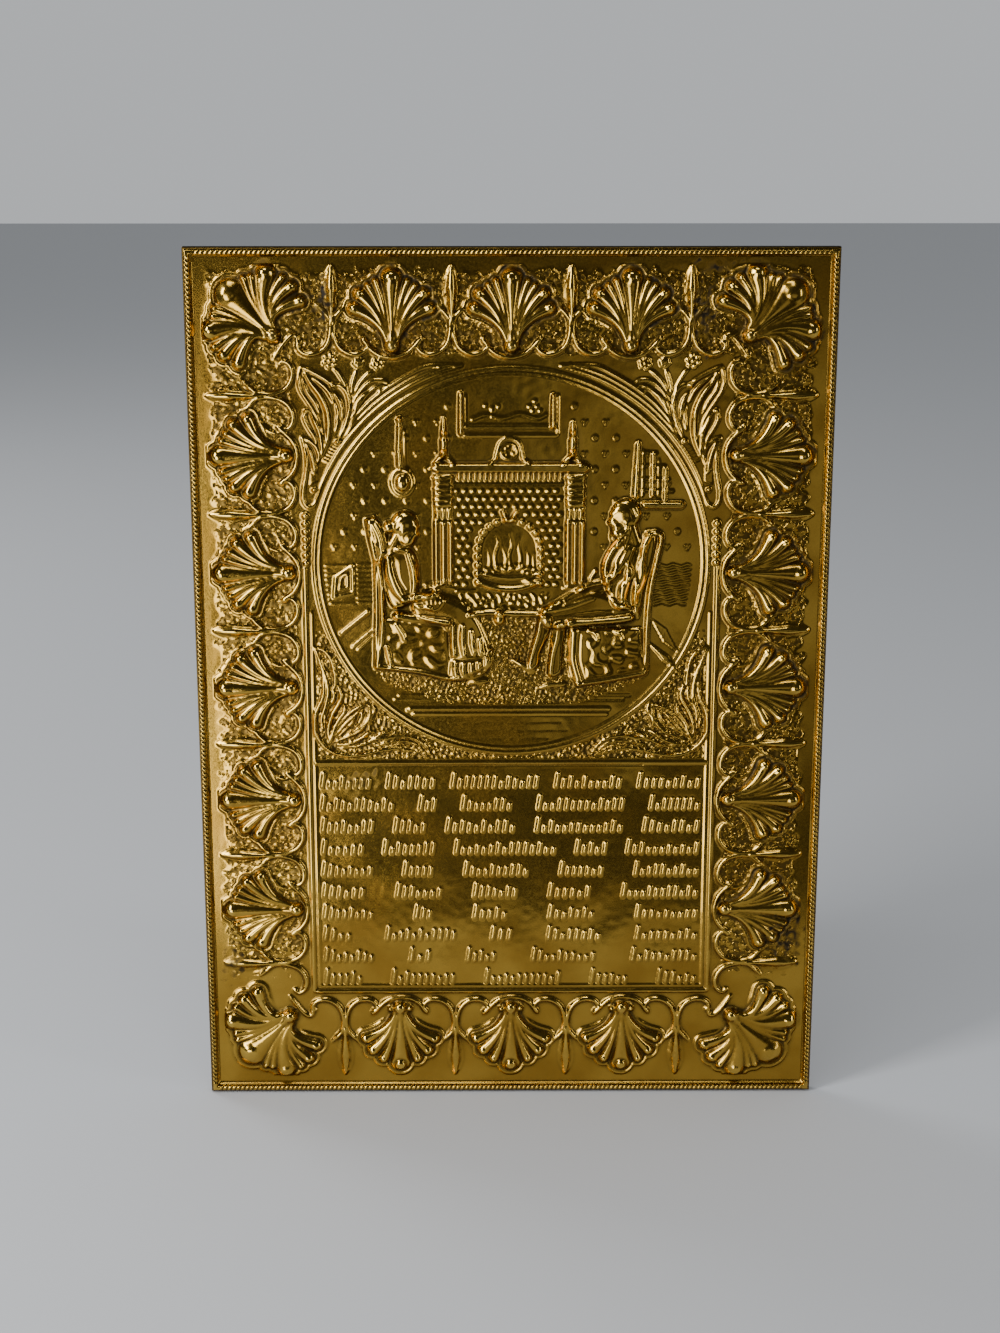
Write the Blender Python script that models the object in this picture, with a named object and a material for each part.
"""Decorative wall plaque of pressed sheet brass, modelled in metres with +Z up.

The plaque is one piece of thin sheet. A die has pressed it from behind, so every form that stands out on the
front is hollow on the back. Its edge is turned back round a rolled lip and ends in a narrow flange that lies on
the wall. The front faces -Y, the wall is the plane Y = 0, and the origin is the middle of the flange's top side.

Plan points are (x, z) from the plaque's centre. A form is a set of facets over the plan, with heights measured
from the ground, which is the flat sheet between the ornaments. Bold forms are pressed right through and shape
both skins of the sheet. Fine forms only thicken its front.
"""
import math

import bmesh
import bpy
from mathutils import Vector
from mathutils.bvhtree import BVHTree
from mathutils.geometry import delaunay_2d_cdt

MM = 0.001

# Sheet and outline
WIDTH = 300 * MM
HEIGHT = 418 * MM
SHEET_THICKNESS = 0.5 * MM
GROUND_STAND_OFF = 3.5 * MM
FLANGE_WIDTH = 8 * MM

# Moulded rim: distance of each line from the outer edge, and its height above the ground
LIP_RADIUS = 1.0 * MM
LIP_HEIGHT = 2.3 * MM
ROPE_WIDTH = 2.4 * MM
ROPE_HEIGHT = 3.5 * MM
ROPE_FOOT_HEIGHT = 1.9 * MM
COVE_WIDTH = 1.2 * MM
COVE_FOOT_HEIGHT = 0.5 * MM
FILLET_WIDTH = 2.4 * MM
FILLET_HEIGHT = 1.4 * MM

# Border of shells, with a bud and two scrolls between each pair
BORDER_WIDTH = 54 * MM
SHELL_PITCH = 56 * MM
SHELL_LENGTH = 36 * MM
SHELL_HEIGHT = 4.8 * MM
SHELL_RIM_GAP = 1.0 * MM
CORNER_SHELL_INSET = 40 * MM
HUB_RADIUS = 3.6 * MM
BUD_LENGTH = 24 * MM
BUD_HALF_WIDTH = 2.2 * MM
BUD_HEIGHT = 2.4 * MM
SCROLL_HALF_WIDTH = 1.1 * MM
SCROLL_HEIGHT = 1.3 * MM

# Round medallion with the hearth scene, drawn on a grid of 93 units to the ring's radius
RING_RADIUS = 92.8 * MM
RING_WIDTH = 4.6 * MM
RING_HEIGHT = 1.8 * MM
RING_BORDER_GAP = 1.2 * MM
RING_SEGMENTS = 40
GRID_UNITS = 93
SCENE_HEIGHT = 4.2 * MM
LEAF_HALF_WIDTH = 1.6 * MM
LEAF_HEIGHT = 1.5 * MM
FLOWER_RADIUS = 2.8 * MM

# Frame below the medallion and the rows of strokes in it
FRAME_BAR_WIDTH = 3.0 * MM
FRAME_BAR_HEIGHT = 1.5 * MM
BEAD_RADIUS = 1.4 * MM
BEAD_PITCH = 3.8 * MM
BEAD_COUNT = 6
PANEL_RING_GAP = 5.2 * MM
ROW_PITCH = 11.3 * MM
STROKE_PITCH = 9.8 * MM
STROKE_LENGTH = 6.2 * MM
STROKE_HALF_WIDTH = 1.0 * MM
STROKE_HEIGHT = 0.5 * MM
STROKES_PER_WORD = 4

# Points closer than this are one point of the net, and facets whose normals agree this well are one flat
WELD_DISTANCE = 0.06 * MM
FLAT_COSINE = 0.9999999

CENTRE_Z = -(HEIGHT - FLANGE_WIDTH) / 2
RIM_WIDTH = LIP_RADIUS + ROPE_WIDTH + COVE_WIDTH + FILLET_WIDTH
UNIT = RING_RADIUS / GRID_UNITS
RING_CENTRE_Z = HEIGHT / 2 - BORDER_WIDTH - RING_BORDER_GAP - RING_RADIUS
FRAME_HALF_WIDTH = WIDTH / 2 - BORDER_WIDTH
FRAME_TOP_Z = RING_CENTRE_Z
FRAME_BOTTOM_Z = BORDER_WIDTH - HEIGHT / 2
PANEL_TOP_Z = RING_CENTRE_Z - RING_RADIUS - PANEL_RING_GAP


class Form:
    """Facets raised on the sheet: points (x, z, height) and faces that number them."""

    def __init__(self):
        self.points = []
        self.faces = []

    def add(self, points, faces):
        """Take in some points and the faces between them, which number those points from 0."""
        first = len(self.points)
        self.points.extend(points)
        self.faces.extend([first + index for index in face] for face in faces)

    def edges(self):
        """Each side of each face, once."""
        found = set()
        for face in self.faces:
            for start, end in zip(face, face[1:] + face[:1]):
                found.add((min(start, end), max(start, end)))
        return sorted(found)


def polar(centre, radius, angle):
    """The plan point at a radius and an angle, counted from +X towards +Z."""
    return centre[0] + radius * math.cos(angle), centre[1] + radius * math.sin(angle)


def between(start, end, share):
    """The plan point at a share of the way from start to end."""
    return tuple(a + (b - a) * share for a, b in zip(start, end))


def side_of(path, index):
    """Unit vector to the left of a path at one of its points."""
    ahead = Vector(path[min(index + 1, len(path) - 1)])
    behind = Vector(path[max(index - 1, 0)])
    along = (ahead - behind).normalized()
    return Vector((-along.y, along.x))


def inset(outline, distance):
    """An outline, given anticlockwise, moved inwards by a distance."""
    moved = []
    for index, point in enumerate(outline):
        before = (Vector(point) - Vector(outline[index - 1])).normalized()
        after = (Vector(outline[(index + 1) % len(outline)]) - Vector(point)).normalized()
        inward = Vector((-before.y - after.y, before.x + after.x)).normalized()
        depth = distance / max(0.5, inward.dot(Vector((-after.y, after.x))))
        moved.append(tuple(Vector(point) + inward * depth))
    return moved


def add_ridge(form, path, half_width, height):
    """A ridge along a path, pointed at both ends and full in between."""
    points = [(*path[0], 0)]
    faces = [(0, 1, 2), (0, 2, 3)]
    for index in range(1, len(path) - 1):
        side = side_of(path, index) * half_width
        middle = Vector(path[index])
        points += [(*(middle + side), 0), (*middle, height), (*(middle - side), 0)]
        left = 3 * index - 2
        if index < len(path) - 2:
            faces += [(left, left + 3, left + 4, left + 1), (left + 1, left + 4, left + 5, left + 2)]
    last = len(points)
    points.append((*path[-1], 0))
    faces += [(last - 3, last, last - 2), (last - 2, last, last - 1)]
    form.add(points, faces)


def add_bar(form, path, half_width, height):
    """A bar along a path, with a roof-like top and sloping ends."""
    points = []
    faces = []
    for index, point in enumerate(path):
        side = side_of(path, index) * half_width
        points += [(*(Vector(point) + side), 0), (*point, height), (*(Vector(point) - side), 0)]
        left = 3 * index
        if index < len(path) - 1:
            faces += [(left, left + 3, left + 4, left + 1), (left + 1, left + 4, left + 5, left + 2)]
    start = Vector(path[0]) + (Vector(path[0]) - Vector(path[1])).normalized() * half_width
    end = Vector(path[-1]) + (Vector(path[-1]) - Vector(path[-2])).normalized() * half_width
    last = len(points)
    points += [(*start, 0), (*end, 0)]
    faces += [(last, 0, 1), (last, 1, 2), (last + 1, last - 3, last - 2), (last + 1, last - 2, last - 1)]
    form.add(points, faces)


def add_plate(form, outline, height, slope):
    """A flat-topped form over an outline given anticlockwise, with sloping sides."""
    count = len(outline)
    top = inset(outline, slope)
    points = [(*point, 0) for point in outline] + [(*point, height) for point in top]
    faces = [(i, (i + 1) % count, count + (i + 1) % count, count + i) for i in range(count)]
    faces.append(tuple(range(count, 2 * count)))
    form.add(points, faces)


def add_dome(form, centre, half_width, half_height, height, sides=8, shoulder=0.0):
    """A round or oval mound, with a shoulder line at a share of its radius where one is given."""
    rings = [(1.0, 0.0)]
    if shoulder:
        rings.append((shoulder, 0.8 * height))
    points = []
    for share, rise in rings:
        for index in range(sides):
            angle = 2 * math.pi * index / sides
            x = centre[0] + share * half_width * math.cos(angle)
            z = centre[1] + share * half_height * math.sin(angle)
            points.append((x, z, rise))
    top = len(points)
    points.append((*centre, height))
    faces = []
    for index in range(sides):
        ahead = (index + 1) % sides
        if shoulder:
            faces.append((index, ahead, sides + ahead, sides + index))
        faces.append((top - sides + index, top - sides + ahead, top))
    form.add(points, faces)


def rim_lines():
    """Distance from the outer edge and height of each line of the rim, from the lip inwards."""
    rope_foot = LIP_RADIUS + ROPE_WIDTH
    cove_foot = rope_foot + COVE_WIDTH
    return [
        (LIP_RADIUS, LIP_HEIGHT),
        (LIP_RADIUS + 0.2 * ROPE_WIDTH, ROPE_FOOT_HEIGHT),
        (LIP_RADIUS + 0.55 * ROPE_WIDTH, ROPE_HEIGHT),
        (rope_foot, ROPE_FOOT_HEIGHT),
        (cove_foot, COVE_FOOT_HEIGHT),
        (cove_foot + FILLET_WIDTH / 2, FILLET_HEIGHT),
        (RIM_WIDTH, 0),
    ]


def rectangle(edge_distance):
    """Corners of the rectangle at a distance inside the outer edge, anticlockwise."""
    x = WIDTH / 2 - edge_distance
    z = HEIGHT / 2 - edge_distance
    return [(-x, -z), (x, -z), (x, z), (-x, z)]


def add_rim(form):
    """The moulded rim: lip, rope bead, cove and fillet as nested rectangles."""
    lines = rim_lines()
    points = [(*corner, height) for distance, height in lines for corner in rectangle(distance)]
    faces = []
    for line in range(len(lines) - 1):
        for corner in range(4):
            ahead = (corner + 1) % 4
            outer, inner = 4 * line, 4 * line + 4
            faces.append((outer + corner, outer + ahead, inner + ahead, inner + corner))
    form.add(points, faces)


# Lobes of a shell from its axis outwards: degrees, share of the shell's length, half width in degrees of a blunt tip
SIDE_LOBES = ((0, 1.0, 4.5), (16, 0.88, 0), (30, 0.83, 4.5), (46, 0.72, 5))
CORNER_LOBES = ((0, 0.97, 5), (20, 0.82, 0), (40, 0.87, 4.5), (59, 0.74, 0), (78, 0.68, 5), (98, 0.56, 0))


def add_shell(form, hub, axis, lobes):
    """A scallop shell spread from its hub along an axis, alike on both sides of it."""
    both = [(-degrees, share, blunt) for degrees, share, blunt in lobes[:0:-1]] + list(lobes)
    lines = [(axis + math.radians(degrees), share * SHELL_LENGTH, math.radians(blunt))
             for degrees, share, blunt in both]
    margin = math.radians(10)
    valleys = [polar(hub, 0.84 * lines[0][1], lines[0][0] - margin)]
    for (angle, radius, _), (next_angle, next_radius, _) in zip(lines, lines[1:]):
        valleys.append(polar(hub, 0.88 * min(radius, next_radius), (angle + next_angle) / 2))
    valleys.append(polar(hub, 0.84 * lines[-1][1], lines[-1][0] + margin))
    points = [(*polar(hub, 1.3 * HUB_RADIUS, axis), 0.5 * SHELL_HEIGHT)]
    points += [(*valley, 0) for valley in valleys]
    faces = []
    for index, (angle, radius, blunt) in enumerate(lines):
        left, right, crest = 1 + index, 2 + index, len(points)
        points.append((*polar(hub, 0.8 * radius, angle), SHELL_HEIGHT))
        tips = [(*polar(hub, radius, angle + turn), 0) for turn in ((-blunt, blunt) if blunt else (0,))]
        points += tips
        faces += [(0, left, crest), (0, crest, right), (left, crest + 1, crest), (crest, crest + len(tips), right)]
        if blunt:
            faces.append((crest, crest + 1, crest + 2))
    form.add(points, faces)
    add_dome(form, hub, HUB_RADIUS, HUB_RADIUS, 0.85 * SHELL_HEIGHT, sides=5)


def spaced(half_length, pitch):
    """Places along a side from corner shell to corner shell, as near to the pitch as fits evenly."""
    gaps = max(2, round(2 * half_length / pitch))
    return [half_length * (2 * index / gaps - 1) for index in range(gaps + 1)]


def border_sides():
    """For each side: a function from (along, inwards from the edge) to plan points, and its half length."""
    half_width, half_height = WIDTH / 2, HEIGHT / 2
    return [
        (lambda along, inward: (-half_width + inward, along), half_height - CORNER_SHELL_INSET, math.pi),
        (lambda along, inward: (half_width - inward, along), half_height - CORNER_SHELL_INSET, 0.0),
        (lambda along, inward: (along, half_height - inward), half_width - CORNER_SHELL_INSET, math.pi / 2),
        (lambda along, inward: (along, inward - half_height), half_width - CORNER_SHELL_INSET, -math.pi / 2),
    ]


def add_border(bold, fine):
    """Shells all round, with a bud and a pair of scrolls between each two."""
    hub_inset = RIM_WIDTH + SHELL_RIM_GAP + SHELL_LENGTH
    for place, half_length, axis in border_sides():
        places = spaced(half_length, SHELL_PITCH)
        for along in places[1:-1]:
            add_shell(bold, place(along, hub_inset), axis, SIDE_LOBES)
            arc = [place(along + across * HUB_RADIUS, hub_inset + beyond * HUB_RADIUS)
                   for across, beyond in ((-3.3, -0.5), (-1.3, 1.45), (1.3, 1.45), (3.3, -0.5))]
            add_ridge(fine, arc, SCROLL_HALF_WIDTH, SCROLL_HEIGHT)
        for before, after in zip(places, places[1:]):
            middle = (before + after) / 2
            outer = RIM_WIDTH + SHELL_RIM_GAP
            bud = [place(middle, outer + share * BUD_LENGTH) for share in (0, 0.35, 0.75, 1)]
            add_ridge(fine, bud, BUD_HALF_WIDTH, BUD_HEIGHT)
            for turn in (-1, 1):
                scroll = [place(middle + turn * across * SHELL_PITCH, outer + depth * SHELL_LENGTH)
                          for across, depth in ((0.01, 0.69), (0.045, 0.93), (0.13, 1.1), (0.26, 1.02))]
                add_ridge(fine, scroll, SCROLL_HALF_WIDTH, SCROLL_HEIGHT)
    for x_sign in (-1, 1):
        for z_sign in (-1, 1):
            hub = (x_sign * (WIDTH / 2 - CORNER_SHELL_INSET), z_sign * (HEIGHT / 2 - CORNER_SHELL_INSET))
            add_shell(bold, hub, math.atan2(z_sign, x_sign), CORNER_LOBES)


def add_ring(form):
    """The medallion's ring, a raised moulding between an outer and an inner foot."""
    radii = (RING_RADIUS + RING_WIDTH / 4, RING_RADIUS, RING_RADIUS - RING_WIDTH / 2, RING_RADIUS - RING_WIDTH * 0.75)
    heights = (0, RING_HEIGHT, RING_HEIGHT, 0)
    points = []
    for radius, height in zip(radii, heights):
        for index in range(RING_SEGMENTS):
            angle = 2 * math.pi * index / RING_SEGMENTS
            points.append((*polar((0, RING_CENTRE_Z), radius, angle), height))
    faces = []
    for line in range(len(radii) - 1):
        for index in range(RING_SEGMENTS):
            ahead = (index + 1) % RING_SEGMENTS
            outer, inner = RING_SEGMENTS * line, RING_SEGMENTS * (line + 1)
            faces.append((outer + index, outer + ahead, inner + ahead, inner + index))
    form.add(points, faces)


def on_grid(points):
    """Plan points of places on the medallion's grid, whose middle is the ring's centre."""
    return [(x * UNIT, RING_CENTRE_Z + z * UNIT) for x, z in points]


def grid_bar(form, points, half_width, share):
    """A bar of the hearth scene, with its height as a share of the scene's."""
    add_bar(form, on_grid(points), half_width * UNIT, share * SCENE_HEIGHT)


def grid_ridge(form, points, half_width, share):
    """A pointed ridge of the hearth scene."""
    add_ridge(form, on_grid(points), half_width * UNIT, share * SCENE_HEIGHT)


def grid_plate(form, points, share, slope=1.2):
    """A flat-topped form of the hearth scene."""
    add_plate(form, on_grid(points), share * SCENE_HEIGHT, slope * UNIT)


def grid_dome(form, centre, half_width, half_height, share, sides=8, shoulder=0.0):
    """A round form of the hearth scene."""
    (centre,) = on_grid([centre])
    add_dome(form, centre, half_width * UNIT, half_height * UNIT, share * SCENE_HEIGHT, sides, shoulder)


def add_fireplace(bold, fine):
    """Chimney piece: pilasters, arched opening in a brick surround, mantel, finials, fire and grate."""
    arch = [(x, 8 + 14 * math.sqrt(max(0, 1 - (x / 14) ** 2))) for x in (14, 10, 5, 0, -5, -10, -14)]
    surround = [(27, -12), (26, 38), (-28, 38), (-28, -12), (-14, -12)] + arch[::-1] + [(14, -12)]
    grid_plate(bold, surround, 0.2, slope=0.8)
    for left, right in ((-36, -28), (26, 35)):
        grid_plate(bold, [(left, -11), (right, -11), (right, 44), (left, 44)], 0.45)
        for x in (left + 2, right - 2):
            grid_bar(fine, [(x, -7), (x, 20)], 0.9, 0.16)
        grid_plate(fine, [(left + 1, 24), (right - 1, 24), (right - 1, 42), (left + 1, 42)], 0.14, slope=0.9)
    grid_bar(bold, [(-36, 46), (36, 46)], 1.8, 0.62)
    for index in range(16):
        x = -24 + 3.1 * index
        grid_ridge(fine, [(x, 39.5), (x, 42), (x, 44.5)], 0.8, 0.2)
    grid_dome(bold, (-1, 53), 6, 6, 0.45, sides=8, shoulder=0.6)
    for x, foot, tip in ((-31.5, 49, 70), (28.5, 49, 68)):
        grid_ridge(fine, [(x, foot - 1), (x, foot + 2), (x, tip - 9), (x, tip)], 1.5, 0.5)
    grid_dome(fine, (-1, 24), 3, 3, 0.3, sides=6)
    for x, tip in ((-9, 9), (-4.5, 13), (0, 10), (4.5, 12), (9, 8)):
        grid_ridge(fine, [(x, -2), (x, 3), (x, tip)], 1.3, 0.2)
    grid_bar(fine, [(-14, -5), (13, -5)], 1.0, 0.2)
    grid_bar(fine, [(-15, -12), (13, -12)], 1.4, 0.3)
    grid_bar(fine, [(-11, -24), (13, -24)], 1.2, 0.25)


def add_wall_things(fine):
    """Picture frame, warming pan, lattice window and shelf on the room's wall, and the floor's edges."""
    grid_bar(fine, [(-23.5, 63), (-23.5, 81)], 1.1, 0.45)
    grid_bar(fine, [(19.5, 63), (19.5, 81)], 1.1, 0.45)
    grid_bar(fine, [(-22, 63.5), (19, 63.5)], 1.3, 0.25)
    grid_bar(fine, [(-52, 48), (-52, 67)], 1.2, 0.4)
    grid_dome(fine, (-51, 39), 5.5, 6.5, 0.45, sides=8, shoulder=0.7)
    grid_bar(fine, [(59, 33), (59, 57)], 1.6, 0.4)
    grid_bar(fine, [(66, 33), (66, 52)], 0.8, 0.2)
    grid_bar(fine, [(72, 33), (72, 46)], 0.8, 0.2)
    grid_bar(fine, [(62, 29), (80, 29)], 1.4, 0.35)
    grid_bar(fine, [(-48, -72), (48, -72)], 1.0, 0.15)
    grid_bar(fine, [(-56, -65), (56, -65)], 0.6, 0.1)
    grid_bar(fine, [(-80, -34), (-68, -24)], 1.0, 0.2)
    grid_bar(fine, [(-84, -16), (-75, -13), (-75, -2)], 0.9, 0.25)
    grid_bar(fine, [(-75, -2), (-84, -6), (-84, -16)], 0.9, 0.25)


def add_left_elder(bold, fine):
    """An elder in a wing chair, knitting, turned to the fire."""
    grid_plate(bold, [(-63, -51), (-29, -57), (-29, -30), (-61, -26)], 0.32)
    grid_bar(bold, [(-67, 20), (-63, -4), (-64, -50)], 1.8, 0.65)
    grid_plate(bold, [(-64, 6), (-61, 0), (-58, 4), (-58, 12), (-63, 21), (-66, 21)], 0.7, slope=1.0)
    skirt = [(-46, -22), (-34, -32), (-28, -56), (-15, -54), (-10, -48), (-12, -36), (-18, -24), (-26, -18), (-36, -14),
             (-46, -13)]
    grid_plate(bold, skirt, 0.72, slope=2.0)
    torso = [(-61, -10), (-56, -21), (-46, -20), (-42, -12), (-43, 0), (-46, 8), (-54, 10), (-60, 5)]
    grid_plate(bold, torso, 0.8, slope=2.4)
    grid_dome(bold, (-50.5, 18), 6.8, 7.6, 1.0, sides=8, shoulder=0.65)
    grid_dome(fine, (-58, 19), 3.2, 3.4, 0.5, sides=6)
    grid_ridge(fine, [(-46, 21), (-43.5, 18), (-46, 15)], 1.2, 0.3)
    grid_ridge(fine, [(-57, 5), (-55, -4), (-50, -12), (-42, -13), (-35, -10)], 2.6, 0.3)
    grid_bar(fine, [(-54, -25), (-30, -28)], 2.2, 0.3)
    for start, end in (((-27, -28), (-26, -44)), ((-23, -26), (-21, -44)), ((-18, -31), (-17, -42)),
                       ((-26, -46), (-25, -54)), ((-20, -46), (-19, -54)), ((-14, -44), (-13, -50))):
        grid_ridge(fine, [start, between(start, end, 0.5), end], 1.3, 0.25)
    grid_ridge(fine, [(-43, -12), (-37, -9), (-31, -8)], 0.7, 0.3)
    grid_dome(fine, (-15, -58), 5.5, 2.4, 0.4, sides=6)


def add_right_elder(bold, fine):
    """A bearded elder in an armchair, turned to the fire, with a hand on one knee."""
    grid_plate(bold, [(31, -59), (64, -54), (61, -30), (28, -31)], 0.36)
    grid_bar(bold, [(70, 14), (66, -8), (64, -53)], 1.6, 0.7)
    grid_bar(bold, [(63, 13), (60, -8), (59, -24)], 2.4, 0.9)
    legs = [(18, -30), (56, -28), (58, -21), (40, -15), (20, -19), (14, -23)]
    grid_plate(bold, legs, 0.75, slope=2.0)
    grid_bar(bold, [(15, -27), (12, -38), (8, -49)], 2.8, 0.7)
    grid_bar(bold, [(22, -28), (20, -42), (18, -53)], 2.4, 0.55)
    grid_dome(fine, (4, -49), 5.5, 2.2, 0.4, sides=6)
    grid_dome(fine, (20, -59), 6.5, 2.2, 0.4, sides=6)
    torso = [(42, -5), (47, -16), (57, -20), (60, -4), (59, 12), (52, 16), (45, 8)]
    grid_plate(bold, torso, 0.82, slope=2.4)
    grid_dome(bold, (52.5, 22), 7.6, 7.8, 1.0, sides=8, shoulder=0.65)
    grid_dome(fine, (48, 15), 3.4, 4.0, 0.4, sides=6)
    grid_ridge(fine, [(48, 26), (45, 22), (47, 19)], 1.2, 0.3)
    grid_ridge(fine, [(49, 10), (45, 2), (38, -6), (30, -12), (22, -19)], 2.2, 0.25)
    grid_ridge(fine, [(55, 4), (53, -8), (48, -14)], 2.0, 0.25)
    grid_bar(fine, [(28, -28.5), (57, -26)], 2.4, 0.35)
    grid_bar(fine, [(30, -34), (30, -48), (33, -57)], 1.8, 0.25)


def add_spandrels(fine):
    """Leaves, stems and flowers between the medallion and the border, alike on both sides."""
    upper = (
        ((-89, 44), (-79, 61), (-65, 75), (-49, 86), (-28, 93.5)),
        ((-91, 46), (-85, 61), (-86, 77), (-95, 88)),
        ((-89, 47), (-81, 64), (-79, 77), (-84, 86)),
        ((-93, 46), (-89, 55), (-91, 65), (-98, 73)),
        ((-79, 60), (-74, 75), (-75, 86), (-82, 93)),
        ((-74, 75), (-72, 84), (-69, 93)),
        ((-71, 79), (-66, 87), (-58, 92)),
    )
    lower = (
        ((-88, -88), (-93, -76), (-90, -56), (-95, -41)),
        ((-87, -87), (-86, -71), (-84, -56), (-89, -44)),
        ((-86, -86), (-78, -74), (-67, -69)),
        ((-85, -88), (-74, -82), (-65, -71)),
        ((-85, -90), (-70, -86), (-58, -86)),
        ((-86, -92), (-66, -92), (-48, -89), (-38, -95)),
    )
    for sign in (1, -1):
        for path in upper + lower:
            add_ridge(fine, on_grid([(sign * x, z) for x, z in path]), LEAF_HALF_WIDTH, LEAF_HEIGHT)
        for x, z in ((-84, 95), (-71, 95), (-60, 94)):
            (flower,) = on_grid([(sign * x, z)])
            add_dome(fine, flower, FLOWER_RADIUS, FLOWER_RADIUS, LEAF_HEIGHT, sides=6)


def add_frame(fine):
    """Straight bars beside and below the panel, its top bar, and the columns of beads above."""
    half_bar = FRAME_BAR_WIDTH / 2
    for sign in (-1, 1):
        x = sign * FRAME_HALF_WIDTH
        add_bar(fine, [(x, FRAME_TOP_Z - half_bar), (x, FRAME_BOTTOM_Z + half_bar)], half_bar, FRAME_BAR_HEIGHT)
        for index in range(BEAD_COUNT):
            z = FRAME_TOP_Z + BEAD_PITCH * (index + 0.5)
            add_dome(fine, (x, z), BEAD_RADIUS, BEAD_RADIUS, FRAME_BAR_HEIGHT, sides=5)
    reach = FRAME_HALF_WIDTH - FRAME_BAR_WIDTH
    add_bar(fine, [(-reach, FRAME_BOTTOM_Z), (reach, FRAME_BOTTOM_Z)], half_bar, FRAME_BAR_HEIGHT)
    add_bar(fine, [(-reach, PANEL_TOP_Z), (reach, PANEL_TOP_Z)], half_bar / 2, FRAME_BAR_HEIGHT / 2)


def add_strokes(fine):
    """Rows of short upright strokes in groups, where the panel carries its rows of relief."""
    reach = FRAME_HALF_WIDTH - 1.5 * FRAME_BAR_WIDTH
    rows = int((PANEL_TOP_Z - FRAME_BOTTOM_Z - FRAME_BAR_WIDTH) / ROW_PITCH)
    places = int(2 * reach / STROKE_PITCH)
    for row in range(rows):
        z = PANEL_TOP_Z - ROW_PITCH * (row + 0.85)
        for index in range(places):
            if (index + 2 * row) % (STROKES_PER_WORD + 1) == STROKES_PER_WORD:
                continue
            x = -reach + STROKE_PITCH * (index + 0.5)
            lean = STROKE_HALF_WIDTH * (1 if index % 2 else -1)
            foot, tip = (x - lean, z - STROKE_LENGTH / 2), (x + lean, z + STROKE_LENGTH / 2)
            add_ridge(fine, [foot, (x, z), tip], STROKE_HALF_WIDTH, STROKE_HEIGHT)


def height_finder(points, faces):
    """A function that gives the height of the highest facet over a plan point, or 0 beside them all."""
    tree = BVHTree.FromPolygons([(x, -height, z) for x, z, height in points], faces)
    start = -max(height for _, _, height in points) - 1

    def height_at(x, z):
        hit = tree.ray_cast(Vector((x, start, z)), Vector((0, 1, 0)))[0]
        return max(0.0, -hit.y) if hit else 0.0

    return height_at


def plan_net(points, edges):
    """Triangles over the plan that keep every edge: corners, faces and the input points at each corner."""
    flat = [Vector((x, z)) for x, z in points]
    corners, _, faces, sources, _, _ = delaunay_2d_cdt(flat, edges, [], 0, WELD_DISTANCE)
    return corners, faces, sources


def bold_net(bold):
    """The back skin's net: corners (x, z, height) and triangles of the forms pressed right through."""
    corners, faces, sources = plan_net([(x, z) for x, z, _ in bold.points], bold.edges())
    height_at = height_finder(bold.points, bold.faces)
    net = []
    for corner, source in zip(corners, sources):
        own = [bold.points[index][2] for index in source]
        net.append((corner.x, corner.y, max(own + [height_at(*corner)])))
    return net, faces


def creases(net, faces):
    """Edges of a net where its facets meet at an angle, or that lie on its outline."""
    normals = {}
    for face in faces:
        first, second, third = (Vector(net[index]) for index in face)
        normal = (second - first).cross(third - first).normalized()
        for start, end in zip(face, face[1:] + face[:1]):
            normals.setdefault((min(start, end), max(start, end)), []).append(normal)
    return sorted(edge for edge, sides in normals.items()
                  if len(sides) == 1 or sides[0].dot(sides[1]) < FLAT_COSINE)


def full_net(net, net_faces, fine):
    """The front skin's net: the bold net's creases and the fine forms that stand on them."""
    count = len(net)
    edges = creases(net, net_faces) + [(start + count, end + count) for start, end in fine.edges()]
    plan = [(x, z) for x, z, _ in net] + [(x, z) for x, z, _ in fine.points]
    corners, faces, sources = plan_net(plan, edges)
    bold_at = height_finder(net, net_faces)
    fine_at = height_finder(fine.points, fine.faces)
    front = []
    for corner, source in zip(corners, sources):
        base = max([net[index][2] for index in source if index < count] + [bold_at(*corner)])
        rise = max([fine.points[index - count][2] for index in source if index >= count] + [fine_at(*corner)])
        front.append((corner.x, corner.y, base + rise))
    return front, faces


def add_skin(mesh, net, faces, depth, flip):
    """Put a net into the mesh, its ground at a depth before the wall, and give its four corners."""
    corners = [mesh.verts.new((x, -depth - height, CENTRE_Z + z)) for x, z, height in net]
    for face in faces:
        order = reversed(face) if flip else face
        mesh.faces.new([corners[index] for index in order])
    outer = []
    for x, z in rectangle(LIP_RADIUS):
        outer.append(min(corners, key=lambda corner: math.hypot(corner.co.x - x, corner.co.z - CENTRE_Z - z)))
    return outer


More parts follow.
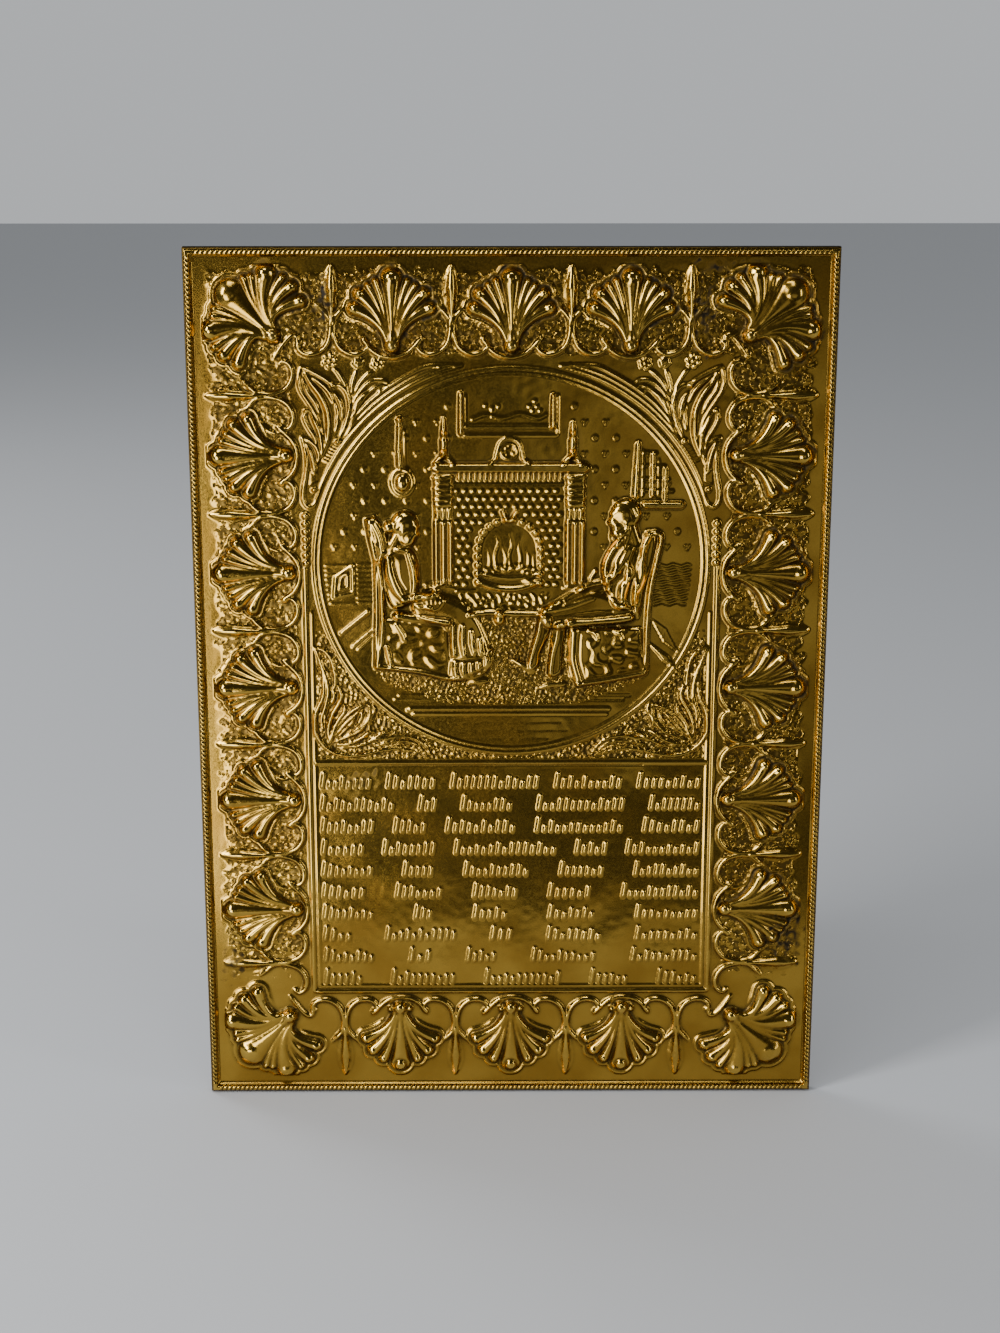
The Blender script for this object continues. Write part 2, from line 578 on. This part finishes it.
def add_turned_edge(mesh, front_corners, back_corners):
    """The lip, side wall and flange: rectangles from the front skin's edge round to the back skin's."""
    lip_depth = GROUND_STAND_OFF + LIP_HEIGHT
    inner = SHEET_THICKNESS
    lines = [
        (0.3 * LIP_RADIUS, lip_depth - 0.3 * LIP_RADIUS),
        (0, lip_depth - LIP_RADIUS),
        (0, 0),
        (FLANGE_WIDTH, 0),
        (FLANGE_WIDTH, inner),
        (inner, inner),
        (inner, lip_depth - LIP_RADIUS - inner / 2),
    ]
    loops = [front_corners]
    for distance, depth in lines:
        loops.append([mesh.verts.new((x, -depth, CENTRE_Z + z)) for x, z in rectangle(distance)])
    loops.append(back_corners)
    for loop, ahead in zip(loops, loops[1:]):
        for index in range(4):
            beside = (index + 1) % 4
            mesh.faces.new((loop[index], ahead[index], ahead[beside], loop[beside]))


def brass():
    """Warm golden brass, with a soft sheen."""
    material = bpy.data.materials.new("brass")
    material.use_nodes = True
    shader = material.node_tree.nodes["Principled BSDF"]
    shader.inputs["Base Color"].default_value = (0.62, 0.42, 0.13, 1)
    shader.inputs["Metallic"].default_value = 1.0
    shader.inputs["Roughness"].default_value = 0.34
    return material


def make_plaque():
    """The whole plaque as one closed body of sheet."""
    bold, fine = Form(), Form()
    add_rim(bold)
    add_ring(bold)
    add_border(bold, fine)
    add_fireplace(bold, fine)
    add_left_elder(bold, fine)
    add_right_elder(bold, fine)
    add_wall_things(fine)
    add_spandrels(fine)
    add_frame(fine)
    add_strokes(fine)
    net, net_faces = bold_net(bold)
    front, front_faces = full_net(net, net_faces, fine)

    mesh = bmesh.new()
    front_corners = add_skin(mesh, front, front_faces, GROUND_STAND_OFF, False)
    back_corners = add_skin(mesh, net, net_faces, GROUND_STAND_OFF - SHEET_THICKNESS, True)
    add_turned_edge(mesh, front_corners, back_corners)
    bmesh.ops.triangulate(mesh, faces=[face for face in mesh.faces if len(face.verts) > 3])
    bmesh.ops.recalc_face_normals(mesh, faces=mesh.faces)
    data = bpy.data.meshes.new("plaque")
    mesh.to_mesh(data)
    mesh.free()
    data.materials.append(brass())
    plaque = bpy.data.objects.new("plaque", data)
    bpy.context.scene.collection.objects.link(plaque)
    return plaque


for old in list(bpy.data.objects):
    bpy.data.objects.remove(old)
make_plaque()
